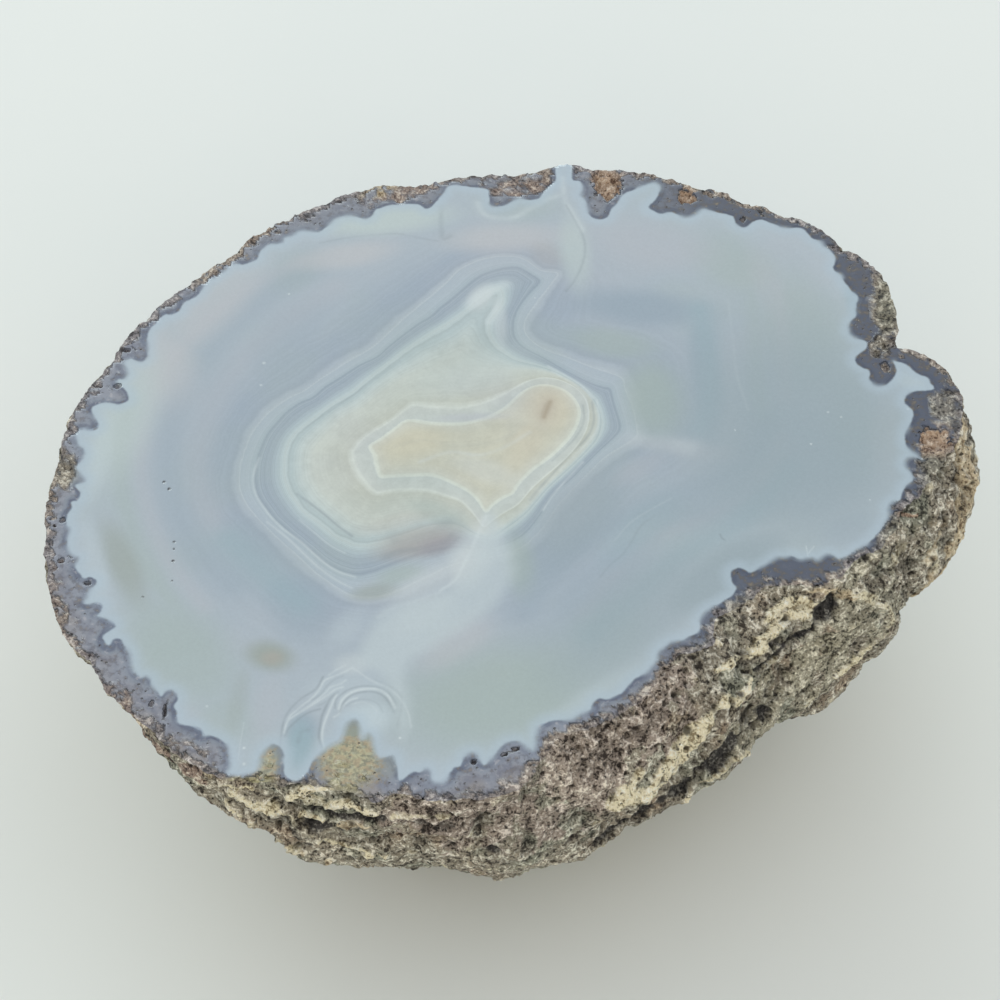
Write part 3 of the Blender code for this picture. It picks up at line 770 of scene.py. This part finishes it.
def face_points(edge, rim, bands, strokes):
    """The places of the face's mesh inside its edge: close together by the lines, further apart elsewhere."""
    corner = edge.min(0) - 1
    shape = tuple(np.ceil((edge.max(0) + 1 - corner) / FINE_STEP).astype(int))
    fine = marked(shape, corner, np.vstack([dense(line, False) for line in strokes]), NEAR_LINES)
    spots = on_face([(x, y) for x, y, *_ in CAVITIES])
    fine |= marked(shape, corner, spots, NEAR_CAVITIES)
    fine |= marked(shape, corner, on_face([(x, y) for _, x, y, _ in SPECKS]), NEAR_SPECKS)
    loops = [dense(line, True) for line in [rim, *bands]]
    middle = marked(shape, corner, np.vstack(loops), NEAR_BANDS)
    middle |= marked(shape, corner, dense(edge, True), NEAR_EDGE)
    across, along = np.meshgrid(np.arange(shape[0]), np.arange(shape[1]), indexing="ij")
    shifted = across + 0.5 * (along % 2)
    keep = fine | (middle & (across % 2 == 0) & (along % 2 == 0)) | ((across % 4 == 0) & (along % 4 == 0))
    places = corner + np.stack([shifted[keep], along[keep]], 1) * FINE_STEP
    places = places[inside(places, edge)]
    return places[from_line(places, edge, closed=True) > EDGE_GAP]


def patch_weights(places, patches):
    """For each colour among some patches, how much of it there is at each place."""
    weights = {}
    for kind, x, y, wide, tall, turned, strength in patches:
        middle, right, up = on_face([(x, y), (x + 1, y), (x, y - 1)])
        across = (places - middle) @ (right - middle) / ((right - middle) ** 2).sum()
        along = (places - middle) @ (up - middle) / ((up - middle) ** 2).sum()
        turn = math.radians(turned)
        a = (across * math.cos(turn) + along * math.sin(turn)) / wide
        b = (along * math.cos(turn) - across * math.sin(turn)) / tall
        weight = strength * eased(1.35 - 0.9 * np.hypot(a, b))
        weights[kind] = np.maximum(weights.get(kind, 0.0), weight)
    return weights


def crust_weights(places, margin, patches):
    """How much of each place is rough crust: a ragged strip by the edge, and the mossy and rusty patches."""
    near = margin < CRUST_REACH
    ragged = np.array([lumps((*place, 4.0), 1.4) for place in places[near]])
    width = np.full(len(places), -9.0)
    broken = 0.9 * patches["moss"] + 0.6 * patches["rust"] + 0.25 * patches["gold"] + 0.5 * patches["rosy"]
    width[near] = 0.85 + 1.3 * ragged
    strip = eased((width - margin) / 0.25)
    patchy = eased((broken - 0.45 + 0.25 * np.maximum(width, -1)) / 0.3)
    return np.maximum(strip, patchy * (margin < 6))


def drawn_line(path):
    """A smooth open line on the face, from its traced pixels."""
    return rounded(on_face(traced(path)), closed=False, steps=LINE_STEPS)


def cavity_depths(places):
    """How deep the cavities are at each place."""
    depth = np.zeros(len(places))
    for x, y, wide, tall, deep in CAVITIES:
        middle, right, up = on_face([(x, y), (x + 1, y), (x, y - 1)])
        right, up = right - middle, up - middle
        a = (places - middle) @ right / (right**2).sum() / wide
        b = (places - middle) @ up / (up**2).sum() / tall
        near = np.hypot(a, b) < 2
        ragged = np.array([lumps((*place, deep), 0.9) for place in places[near]])
        bowl = eased((1.15 - np.hypot(a, b)[near] + 0.45 * ragged) / 0.45)
        depth[near] = np.maximum(depth[near], bowl * deep * (1 + 0.3 * ragged))
    return depth


def nesting(places, bands, into):
    """How far in each place is: the number of the band round it, and the share of the way to the next."""
    gaps = [np.abs(into)] + [from_line(places, band, closed=True) for band in bands]
    level = np.zeros(len(places), int)
    for index, band in enumerate(bands, 1):
        level[inside(places, band) & (level == index - 1)] = index
    nest = np.zeros(len(places))
    for index in range(len(bands)):
        here = level == index
        outer, inner = gaps[index][here], gaps[index + 1][here]
        nest[here] = index + outer / np.maximum(outer + inner, TINY)
    core = level == len(bands)
    nest[core] = len(bands) + np.minimum(gaps[-1][core] / CORE_WIDTH, 0.999)
    return nest


def line_marks(places, strokes):
    """For each colour among the strokes and specks, how much of it there is at each place."""
    marks = {}
    for (kind, width, strength, _), line in zip(STROKES, strokes):
        near = close_by(places, line, 4 * width)
        mark = np.zeros(len(places))
        mark[near] = strength * np.exp(-((from_line(places[near], line) / width) ** 2))
        marks[kind] = np.maximum(marks.get(kind, 0.0), mark)
    for (kind, x, y, radius), spot in zip(SPECKS, on_face([(x, y) for _, x, y, _ in SPECKS])):
        mark = eased(1.6 - np.linalg.norm(places - spot, axis=1) / radius)
        marks[kind] = np.maximum(marks[kind], mark)
    return marks


def soft_weights(places):
    """For each colour among the soft patches and arcs, how much of it there is at each place."""
    soft = patch_weights(places, PATCHES)
    for kind, width, strength, path in ARCS:
        line = drawn_line(path)
        near = close_by(places, line, MARGIN * width)
        arc = strength * np.exp(-((from_line(places[near], line, step=0.2) / width) ** 2))
        soft[kind][near] = np.maximum(soft[kind][near], arc)
    return soft


def face_piece(edge_points):
    """The polished face: flat, with a few small cavities where the saw met hollows in the rim."""
    edge = edge_points[:, :2]
    rim, channel, *bands = (rounded(on_face(line), closed=True) for line in (RIM, CHANNEL, *BANDS))
    strokes = [drawn_line(path) for *_, path in STROKES]
    places = face_points(edge, rim, bands, strokes)
    points = [Vector(place) for place in np.vstack([edge, places])]
    sides = [(index, (index + 1) % len(edge)) for index in range(len(edge))]
    points, _, faces, *_ = delaunay_2d_cdt(points, sides, [], INSIDE_ONLY, SAME_PLACE)
    flat = np.array(points)
    margin = from_line(flat, edge, closed=True)
    depth = cavity_depths(flat) * eased((margin - 0.1) / 0.4)
    rim_patches = patch_weights(flat, RIM_PATCHES)
    into = np.where(inside(flat, rim), 1, -1) * from_line(flat, rim, closed=True)
    crust = crust_weights(flat, margin, rim_patches) * eased(-into / 0.5)
    crust[margin < 0.01] = 1.0
    low = crust > 0
    depth[low] += crust[low] * [chip(x, y) for x, y in flat[low]]
    piece = mesh_piece("polished_face", np.column_stack([flat, FACE_HEIGHT - depth]), faces)
    river = np.where(inside(flat, channel), 1, -1) * from_line(flat, channel, closed=True)
    values = {"into": into, "crust": crust, "cavity": depth, "river": river}
    values["nest"] = nesting(flat, bands, into)
    values |= {kind + "_line": mark for kind, mark in line_marks(flat, strokes).items()}
    values |= soft_weights(flat)
    values |= {"rim_" + kind: weight for kind, weight in rim_patches.items()}
    for kind, value in values.items():
        add_attribute(piece, kind, value)
    return piece


def colour(tint):
    """A shader colour from one on the 0 to 255 scale of pictures. Anything else stays as it is."""
    if not isinstance(tint, tuple) or len(tint) != 3:
        return tint
    return (*(((part / 255 + 0.055) / 1.055) ** 2.4 for part in tint), 1.0)


class Looks:
    """Adds shader nodes to a new material. Any input takes a link or a plain value."""

    def __init__(self, name):
        self.material = bpy.data.materials.new(name)
        self.material.use_nodes = True
        self.tree = self.material.node_tree
        self.shader = self.tree.nodes["Principled BSDF"]

    def feed(self, socket, value):
        if isinstance(value, bpy.types.NodeSocket):
            self.tree.links.new(value, socket)
        elif value is not None:
            socket.default_value = colour(value)

    def surface(self, inputs):
        """Feeds the shader's own inputs."""
        for name, value in inputs.items():
            self.feed(self.shader.inputs[name], value)

    def node(self, kind, inputs, **settings):
        """A new node with some settings, its inputs fed by name or number."""
        node = self.tree.nodes.new("ShaderNode" + kind)
        for name, value in settings.items():
            setattr(node, name, value)
        for name, value in inputs.items():
            self.feed(node.inputs[name], value)
        return node.outputs

    def attribute(self, name):
        return self.node("Attribute", {}, attribute_name=name)["Fac"]

    def places(self, stretch=(1, 1, 1)):
        """Places in millimetres, so that sizes in the patterns are in millimetres too."""
        scale = [part / MM for part in stretch]
        place = self.node("TexCoord", {})["Object"]
        return self.node("VectorMath", {0: place, 1: scale}, operation="MULTIPLY")[0]

    def noise(self, size, detail=2.0, rough=0.5, at=None, turn=0.0):
        inputs = {"Vector": at or self.places(), "Scale": 1 / size, "Detail": detail, "Roughness": rough}
        if turn:
            return self.node("TexNoise", {"W": turn, **inputs}, noise_dimensions="4D")["Fac"]
        return self.node("TexNoise", inputs, noise_dimensions="3D")["Fac"]

    def cells(self, size, at=None):
        return self.node("TexVoronoi", {"Vector": at or self.places(), "Scale": 1 / size})["Distance"]

    def math(self, operation, *values):
        return self.node("Math", dict(enumerate(values)), operation=operation)[0]

    def spread(self, value, low, high, to_low=0.0, to_high=1.0, gently=True):
        """A value stretched from one range to another, and cut to it."""
        inputs = {"Value": value, "From Min": low, "From Max": high, "To Min": to_low, "To Max": to_high}
        way = "SMOOTHSTEP" if gently else "LINEAR"
        return self.node("MapRange", inputs, interpolation_type=way)["Result"]

    def split(self, vector, axis):
        return self.node("SeparateXYZ", {0: vector})[axis]

    def ramp(self, value, stops):
        node = self.tree.nodes.new("ShaderNodeValToRGB")
        points = node.color_ramp.elements
        while len(points) < len(stops):
            points.new(0.5)
        # the points change places while they are moved, so the colours come after
        for point, (position, _) in zip(points, stops):
            point.position = position
        for point, (position, tint) in zip(points, stops):
            point.position = position
            point.color = colour(tint)
        self.feed(node.inputs["Fac"], value)
        return node.outputs["Color"]

    def mix(self, share, first, second, blend="MIX"):
        inputs = {"Factor": share, 6: first, 7: second}
        return self.node("Mix", inputs, data_type="RGBA", blend_type=blend)[2]

    def times(self, first, second):
        return self.math("MULTIPLY", first, second)

    def bump(self, height, distance, after=None):
        return self.node("Bump", {"Height": height, "Distance": distance * MM, "Normal": after})["Normal"]


AGATE_IOR = 1.54
LAST_BAND = 6.0
# The face's colours from the rim inwards: a band's number with the share of the way to the next, and the tint
BAND_RAMP = [
    (0.00, (176, 187, 196)), (0.10, (172, 183, 192)), (0.62, (167, 178, 189)), (0.72, (165, 176, 188)),
    (0.80, (158, 170, 184)), (0.93, (156, 168, 182)), (1.02, (180, 190, 198)), (1.10, (169, 181, 192)),
    (1.55, (172, 184, 194)), (1.90, (164, 178, 188)), (1.97, (152, 165, 177)), (2.05, (150, 163, 176)),
    (2.12, (160, 173, 184)), (2.22, (154, 167, 180)), (2.50, (158, 171, 182)), (2.66, (168, 182, 191)),
    (2.90, (182, 196, 200)), (2.98, (192, 204, 206)), (3.04, (176, 189, 192)), (3.10, (178, 192, 195)),
    (3.20, (189, 200, 200)), (3.42, (196, 202, 196)), (3.90, (189, 193, 184)), (4.00, (208, 214, 208)),
    (4.12, (195, 201, 197)), (4.85, (192, 199, 196)), (4.95, (210, 216, 208)), (5.03, (208, 213, 203)),
    (5.08, (200, 201, 190)), (5.30, (199, 198, 183)), (6.00, (198, 197, 181)),
]

# The rim's colours from its inner border outwards
RIM_RAMP = [
    (0.0, (150, 164, 180)), (0.08, (106, 116, 134)), (0.22, (95, 102, 121)), (0.34, (127, 134, 147)),
    (0.55, (138, 140, 150)), (0.75, (122, 123, 134)), (1.0, (142, 138, 140)),
]

# How clear the fine banding is: the share of the way from the rim to the core, and its strength there
CLEARNESS = [(0.0, 0.12), (0.10, 0.14), (0.16, 0.7), (0.50, 1.0), (0.56, 0.3), (1.0, 0.2)]

FACE_TINTS = {
    "sage": (162, 176, 172), "lavender": (178, 182, 190), "slate": (148, 163, 177), "teal": (150, 172, 182),
    "rosy": (190, 190, 193), "olive": (150, 158, 150), "umber": (172, 164, 156), "plum": (150, 146, 156),
    "amber": (202, 194, 168), "sand": (204, 190, 166), "pale": (190, 203, 210), "mint": (187, 199, 198),
    "deep": (148, 163, 171), "glow": (203, 210, 212),
}
# The dark, middle and light colours of the rough stone, by kind
GRAINS = {
    "plain": ((62, 56, 50), (153, 145, 130), (234, 228, 214)),
    "warm": ((68, 56, 47), (162, 145, 126), (236, 222, 200)),
    "mossy": ((58, 59, 52), (143, 143, 128), (222, 220, 204)),
    "facet": ((68, 65, 56), (164, 158, 140), (238, 232, 214)),
    "rosy": ((60, 51, 46), (158, 145, 134), (232, 220, 209)),
    "rust": ((68, 55, 50), (150, 130, 118), (218, 202, 186)),
    "tan": ((112, 96, 76), (196, 179, 150), (238, 226, 202)),
    "cream": ((140, 127, 100), (222, 212, 184), (247, 242, 227)),
    # the dark colours of the painted shade in recesses
    "soot": ((31, 30, 31), (82, 79, 77), (160, 156, 148)),
    "gold": ((112, 106, 80), (176, 169, 130), (216, 210, 176)),
    "moss": ((54, 52, 46), (128, 124, 110), (206, 201, 184)),
    "pink": ((116, 92, 76), (198, 172, 150), (234, 216, 198)),
    "dusk": ((64, 60, 62), (138, 133, 136), (204, 198, 196)),
}


def crumbs(looks):
    """The grain of rough stone: how dark, how light and how high each place is."""
    at = looks.places()
    fine = looks.noise(0.40, 3.0, 0.65, at=at, turn=4.4)
    coarse = looks.noise(1.3, 2.0, 0.6, at=at, turn=8.1)
    grain = looks.math("ADD", looks.times(fine, 0.53), looks.times(coarse, 0.47))
    return looks.spread(grain, 0.485, 0.41), looks.spread(grain, 0.51, 0.60), grain


def mixed_grains(looks, grain, first, kinds):
    """The colour of rough stone: the first kind, with others over it where their masks say."""
    dark, light, _ = grain
    trio = GRAINS[first]
    for kind, mask in kinds:
        trio = [looks.mix(mask, under, over) for under, over in zip(trio, GRAINS[kind])]
    tint = looks.mix(dark, trio[1], trio[0])
    return looks.mix(light, tint, trio[2])


def shifted(looks, value, pattern, amount):
    """A value moved up and down by a pattern that runs from 0 to 1."""
    return looks.math("MULTIPLY_ADD", looks.math("SUBTRACT", pattern, 0.5), amount, value)


def field_tint(looks, wander, fine, cloud):
    """The colour of the agate inside its rim: bands, soft zones, the pale channel and fine lines."""
    nest = shifted(looks, looks.attribute("nest"), wander, 0.08)
    nest = shifted(looks, nest, fine, 0.03)
    place = looks.math("DIVIDE", nest, LAST_BAND)
    tint = looks.ramp(place, [(position / LAST_BAND, shade) for position, shade in BAND_RAMP])

    # broad clouds in the field
    tint = looks.mix(looks.spread(cloud, 0.45, 0.7, 0, 0.25), tint, FACE_TINTS["sage"])
    tint = looks.mix(looks.spread(cloud, 0.5, 0.3, 0, 0.25), tint, FACE_TINTS["lavender"])

    # fine banding, clear by the bands and faint elsewhere
    thread = looks.node("TexNoise", {"W": nest, "Scale": 24.0, "Detail": 3.0}, noise_dimensions="1D")
    clear = looks.ramp(place, [(position, (share,) * 4) for position, share in CLEARNESS])
    banding = looks.spread(thread["Fac"], 0.35, 0.65, 0.94, 1.05)
    tint = looks.mix(clear, tint, looks.mix(1.0, tint, banding, "MULTIPLY"))

    # a little mottling in the cream zone and the core
    flecks = looks.spread(looks.noise(1.6, 4.0, 0.65, turn=8.8), 0.35, 0.65, 0.955, 1.045)
    heart = looks.spread(nest, 2.9, 3.3)
    tint = looks.mix(heart, tint, looks.mix(1.0, tint, flecks, "MULTIPLY"))

    # soft patches
    for kind, shade in FACE_TINTS.items():
        tint = looks.mix(looks.attribute(kind), tint, shade)

    # the pale channel
    river = shifted(looks, looks.attribute("river"), wander, 1.5)
    tint = looks.mix(looks.spread(river, -0.9, 2.0, 0, 0.7), tint, (189, 200, 205))

    # drawn lines
    faint = looks.spread(looks.noise(3.0, 2.0, turn=5.1), 0.3, 0.6, 0.5, 1.0)
    white = looks.times(looks.attribute("white_line"), faint)
    tint = looks.mix(looks.times(white, 0.75), tint, (208, 217, 220))
    dark = looks.times(looks.attribute("dark_line"), faint)
    tint = looks.mix(looks.times(dark, 0.65), tint, (132, 142, 150))
    return looks.mix(looks.attribute("brown_line"), tint, (156, 142, 122))


def rim_tint(looks, into, mottle, soft):
    """The colour of the dark lobed rim: earthier on the right, with ferny and golden places."""
    lobes = looks.cells(2.6, at=looks.places((1, 1, 0)))
    blotch = looks.noise(2.6, 3.0, 0.6, turn=5.9)
    rings = shifted(looks, looks.times(into, -1.0), lobes, 0.9)
    rings = shifted(looks, rings, blotch, 0.9)
    rim = looks.ramp(looks.spread(rings, -0.2, 3.0, 0, 1, gently=False), RIM_RAMP)
    rim = looks.mix(looks.times(soft, 0.55), rim, (138, 144, 158))
    rim = looks.mix(looks.spread(blotch, 0.50, 0.66, 0, 0.5), rim, (104, 109, 127))
    rim = looks.mix(looks.spread(mottle, 0.48, 0.64, 0, 0.6), rim, (84, 83, 94))
    rim = looks.mix(looks.spread(mottle, 0.42, 0.30, 0, 0.45), rim, (182, 179, 184))
    right = looks.spread(looks.split(looks.places(), 0), 8.0, 30.0, 0, 0.85)
    rim = looks.mix(right, rim, (63, 71, 90))
    earthy = looks.times(looks.spread(mottle, 0.46, 0.62), right)
    rim = looks.mix(earthy, rim, (88, 84, 82))
    rim = looks.mix(looks.spread(looks.split(looks.places(), 1), 20.0, 45.0, 0, 0.25), rim, (84, 88, 98))
    rim = looks.mix(looks.times(looks.attribute("rim_dusk"), 0.8), rim, (96, 98, 116))
    rim = looks.mix(looks.times(looks.attribute("rim_fern"), 0.8), rim, (142, 148, 138))
    stipple = looks.noise(0.45, 3.0, 0.7, turn=3.3)
    golden = looks.mix(looks.spread(stipple, 0.40, 0.60), (190, 182, 144), (132, 128, 106))
    golden = looks.mix(looks.spread(mottle, 0.47, 0.56, 0, 0.6), golden, (172, 148, 118))
    gold = shifted(looks, shifted(looks, looks.attribute("rim_gold"), mottle, 2.4), stipple, 1.2)
    return looks.mix(looks.spread(gold, 0.15, 1.0, 0, 0.8), rim, golden)


def face_looks():
    """Polished agate with its dark lobed rim, the rim's pores and cavities, and rough crust at the edge."""
    looks = Looks("banded_agate")
    wander = looks.noise(5.0, 3.0)
    fine = looks.noise(1.1, 3.0, turn=3.7)
    cloud = looks.noise(14.0, 2.0, turn=1.3)
    mottle = looks.noise(0.9, 4.0, 0.6, turn=9.2)
    tint = field_tint(looks, wander, fine, cloud)

    # a pale halo along the rim, painted as the glow of light through the stone's edge, and the rim, its
    # border sharp in some places and hazy in others
    into = shifted(looks, looks.attribute("into"), fine, 0.4)
    tint = looks.mix(looks.spread(into, 2.0, 0.1, 0, 0.55), tint, (173, 190, 204))
    soft = looks.spread(looks.noise(5.0, 2.0, turn=2.9), 0.44, 0.60)
    soft = looks.math("MAXIMUM", soft, looks.attribute("rim_fern"))
    sharp = looks.spread(into, 0.15, -0.2)
    hazy = looks.spread(into, 0.5, -0.75)
    share = looks.math("MULTIPLY_ADD", looks.math("SUBTRACT", hazy, sharp), soft, sharp)
    tint = looks.mix(share, tint, rim_tint(looks, into, mottle, soft))

    # small dark pores in the rim, cavities and cracks
    pores = looks.spread(looks.cells(0.8), 0.24, 0.12)
    pores = looks.times(pores, looks.spread(into, -0.4, -0.9))
    pores = looks.times(pores, looks.spread(mottle, 0.45, 0.56))
    tint = looks.mix(looks.times(pores, 0.85), tint, (52, 48, 50))

    # crust
    grain = crumbs(looks)
    crust = looks.times(looks.attribute("crust"), looks.spread(grain[2], 0.3, 0.48, 0.75, 1.0))
    kinds = [("warm", looks.spread(cloud, 0.42, 0.6, 0, 0.6))]
    for kind in ("gold", "rust", "moss", "rosy", "pink", "tan"):
        kinds.append((kind, looks.attribute("rim_" + kind)))
    rough_tint = mixed_grains(looks, grain, "dusk", kinds)
    tint = looks.mix(crust, tint, rough_tint)
    cavity = looks.attribute("cavity")
    tint = looks.mix(looks.spread(cavity, 0.1, 0.5), tint, rough_tint)
    tint = looks.mix(looks.spread(cavity, 0.5, 1.4, 0, 0.25), tint, (74, 58, 44))
    tint = looks.mix(looks.attribute("crack_line"), tint, (44, 42, 48))

    # a fine speckle all over
    speck = looks.noise(0.35, 2.0, 0.7, turn=6.6)
    tint = looks.mix(1.0, tint, looks.spread(speck, 0.2, 0.8, 0.96, 1.04, gently=False), "MULTIPLY")
    rough = looks.spread(into, 0.0, -0.8, 0.20, 0.34)
    rough = looks.math("MAXIMUM", rough, looks.times(crust, 0.85))
    rough = looks.math("MAXIMUM", rough, looks.spread(cavity, 0.02, 0.2, 0, 0.85))
    dimple = looks.math("SUBTRACT", 0.0, looks.math("ADD", pores, looks.attribute("crack_line")))
    normal = looks.bump(dimple, 0.12)
    grit = looks.times(grain[2], looks.math("MAXIMUM", crust, looks.spread(cavity, 0.02, 0.2)))
    normal = looks.bump(grit, 0.9, after=normal)
    looks.surface({"Base Color": tint, "Roughness": rough, "IOR": AGATE_IOR, "Normal": normal})
    return looks.material


def rind_looks():
    """The rough rind: brown and grey grains, cream ledges, painted shade in its hollows and a painted
    highlight on its crests.
    """
    looks = Looks("rough_rind")
    cloud = looks.noise(9.0, 3.0, 0.6)
    mottle = looks.noise(1.5, 4.0, 0.65, turn=2.2)
    grain = crumbs(looks)
    kinds = [
        ("warm", looks.spread(cloud, 0.47, 0.32)), ("mossy", looks.spread(cloud, 0.5, 0.66)),
        ("cream", looks.spread(looks.noise(4.0, 3.0, 0.6, turn=7.7), 0.58, 0.68, 0, 0.7)),
    ]
    # kinds of stone, and the painted shade of the recesses, over the plain grain
    for kind in ("facet", "rosy", "rust", "tan", "pink", "cream", "soot"):
        uneven = shifted(looks, looks.attribute(kind), mottle, 1.0 if kind == "cream" else 1.5)
        kinds.append((kind, looks.spread(uneven, 0.22, 0.78)))
    tint = mixed_grains(looks, grain, "plain", kinds)
    # painted shade: near black in small gaps of the grain and in the pits and hollows of the relief
    gaps = looks.spread(looks.noise(0.75, 3.0, 0.6, turn=12.3), 0.40, 0.33)
    pit = looks.math("MAXIMUM", gaps, looks.spread(looks.attribute("pit"), 0.15, 0.8, 0, 0.9))
    tint = looks.mix(looks.times(pit, 0.85), tint, (34, 29, 26))
    height = looks.attribute("height")
    # painted highlight: paler on the raised places of the relief
    crest_highlight = looks.spread(height, 0.1, 0.8, 0, 0.55)
    tint = looks.mix(looks.times(crest_highlight, grain[1]), tint, (222, 213, 194))
    # painted shade and light from the relief: darker where it is low, lighter where it is high
    shade = looks.spread(height, -0.75, 0.55, 0.62, 1.28)
    tint = looks.mix(1.0, tint, shade, "MULTIPLY")
    rough = looks.spread(grain[1], 0, 1, 0.9, 0.6)
    normal = looks.bump(grain[2], 1.5)
    normal = looks.bump(looks.math("SUBTRACT", 1.0, gaps), 0.3, after=normal)
    looks.surface({"Base Color": tint, "Roughness": rough, "Specular IOR Level": 0.35, "Normal": normal})
    return looks.material


def add_camera():
    """The photograph's view."""
    camera = bpy.data.cameras.new("photo_view")
    camera.sensor_width = SENSOR
    camera.lens = FOCAL * SENSOR / PICTURE_SIZE
    camera.clip_start = 0.01
    holder = bpy.data.objects.new("photo_view", camera)
    holder.location = EYE * MM
    holder.rotation_euler = (math.pi / 2 - VIEW_ELEVATION, 0, 0)
    bpy.context.scene.collection.objects.link(holder)
    bpy.context.scene.camera = holder


def add_light(name, place, size, power, shade):
    """A square soft light that faces the stone."""
    light = bpy.data.lights.new(name, "AREA")
    light.size = size
    light.energy = power
    light.color = shade
    holder = bpy.data.objects.new(name, light)
    holder.location = place
    holder.rotation_euler = (LIGHTS_FACE - Vector(place)).to_track_quat("-Z", "Y").to_euler()
    bpy.context.scene.collection.objects.link(holder)


def add_studio():
    """A plain pale floor, a low window behind, a warm lamp in front, and soft light all round."""
    mesh = bpy.data.meshes.new("floor")
    corners = [(-FLOOR_REACH, -FLOOR_REACH, 0), (FLOOR_REACH, -FLOOR_REACH, 0), (FLOOR_REACH, FLOOR_REACH, 0),
               (-FLOOR_REACH, FLOOR_REACH, 0)]
    mesh.from_pydata(corners, [], [(0, 1, 2, 3)])
    floor = bpy.data.objects.new("floor", mesh)
    bpy.context.scene.collection.objects.link(floor)
    looks = Looks("pale_floor")
    looks.surface({"Base Color": looks.mix(looks.noise(60.0, 3.0), *FLOOR_TINTS), "Roughness": 0.7,
                   "Specular IOR Level": 0.2})
    mesh.materials.append(looks.material)
    for light in LIGHTS:
        add_light(*light)
    world = bpy.data.worlds.new("studio")
    world.use_nodes = True
    sky = world.node_tree.nodes["Background"].inputs
    sky["Color"].default_value, sky["Strength"].default_value = SKY
    bpy.context.scene.world = world
    bpy.context.scene.view_settings.view_transform = "Standard"


def main():
    add_camera()
    add_studio()
    rinds, edge = rind_pieces()
    stone = rind_looks()
    for piece in rinds:
        piece.data.materials.append(stone)
    face = face_piece(edge)
    face.data.materials.append(face_looks())
    for piece in (*rinds, face):
        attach(piece, "root")
        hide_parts("agate_half")


main()
